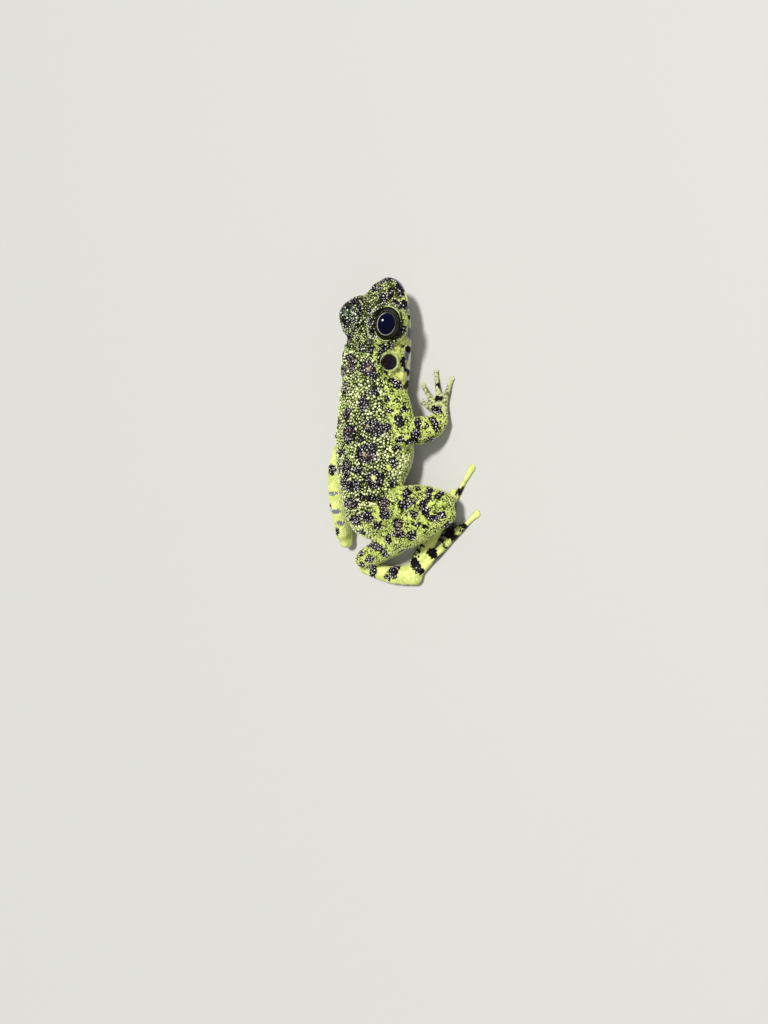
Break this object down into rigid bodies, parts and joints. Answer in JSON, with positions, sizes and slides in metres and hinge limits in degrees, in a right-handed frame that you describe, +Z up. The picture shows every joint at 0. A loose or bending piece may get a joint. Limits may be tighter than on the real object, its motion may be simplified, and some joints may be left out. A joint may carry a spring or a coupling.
{
  "type": "odorrana splendida frog",
  "caption": "Life-size resting rock frog with a flat broad head, large eyes, warty back, folded legs, webbed feet and round toe discs.",
  "frame": {"origin": "on the ground, at the middle of the frog's footprint under the belly", "axes": "+Y from the rump towards the snout, +Z up from the ground, +X to the frog's right"},
  "size_m": [0.076, 0.1236, 0.0267],
  "materials": {
    "skin": "moist granular skin, yellow green with black blotches",
    "eye": "wet and glossy",
    "eardrum": "smooth membrane"
  },
  "bodies": {
    "root": {"head": "skin", "torso": "skin", "eye_right": "eye", "eye_left": "eye", "eardrum_right": "eardrum", "eardrum_left": "eardrum", "upper_arm_right": "skin", "forearm_right": "skin", "hand_right": "skin", "upper_arm_left": "skin", "forearm_left": "skin", "hand_left": "skin", "thigh_right": "skin", "shin_right": "skin", "foot_right": "skin", "thigh_left": "skin", "shin_left": "skin", "foot_left": "skin"}
  },
  "joints": []
}
